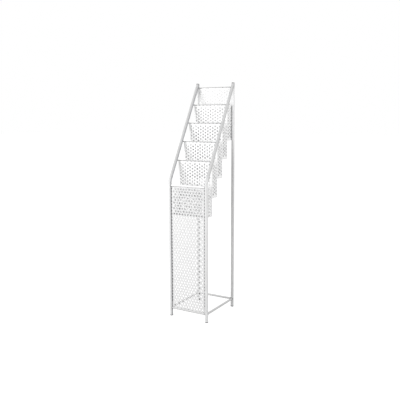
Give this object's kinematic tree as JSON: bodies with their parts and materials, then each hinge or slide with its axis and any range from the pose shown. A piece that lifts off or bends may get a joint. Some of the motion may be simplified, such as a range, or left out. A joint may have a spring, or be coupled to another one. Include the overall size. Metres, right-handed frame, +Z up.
{
  "type": "periodical display rack",
  "caption": "Tall narrow free-standing magazine rack: a white tube frame holding stepped pockets of perforated sheet that face the front.",
  "frame": {"origin": "on the floor, midway between the axes of the four legs", "axes": "+X to the right of someone facing the rack, +Y to its back, +Z up"},
  "size_m": [0.273, 0.353, 1.44],
  "materials": {
    "white_paint": "white powder coat, satin",
    "glide_plastic": "dark grey moulded plastic",
    "cap_plastic": "white moulded plastic"
  },
  "bodies": {
    "root": {"left_front_tube": "white_paint", "left_rear_post": "white_paint", "bottom_left_crossbar": "white_paint", "right_front_tube": "white_paint", "right_rear_post": "white_paint", "bottom_right_crossbar": "white_paint", "bottom_front_crossbar": "white_paint", "bottom_rear_crossbar": "white_paint", "front_top_crossbar": "white_paint", "back_rod": "white_paint", "pocket_1_rod": "white_paint", "pocket_2_rod": "white_paint", "pocket_3_rod": "white_paint", "pocket_4_rod": "white_paint", "back_sheet": "white_paint", "front_panel": "white_paint", "divider_1": "white_paint", "divider_2": "white_paint", "divider_3": "white_paint", "divider_4": "white_paint", "pocket_1_floor": "white_paint", "pocket_2_floor": "white_paint", "pocket_3_floor": "white_paint", "pocket_4_floor": "white_paint", "pocket_5_floor": "white_paint", "pocket_1_left_wall": "white_paint", "pocket_1_right_wall": "white_paint", "pocket_2_left_wall": "white_paint", "pocket_2_right_wall": "white_paint", "pocket_3_left_wall": "white_paint", "pocket_3_right_wall": "white_paint", "pocket_4_left_wall": "white_paint", "pocket_4_right_wall": "white_paint", "pocket_5_left_wall": "white_paint", "pocket_5_right_wall": "white_paint", "left_front_glide": "glide_plastic", "left_rear_glide": "glide_plastic", "right_front_glide": "glide_plastic", "right_rear_glide": "glide_plastic", "left_post_cap": "cap_plastic", "right_post_cap": "cap_plastic"}
  },
  "joints": []
}
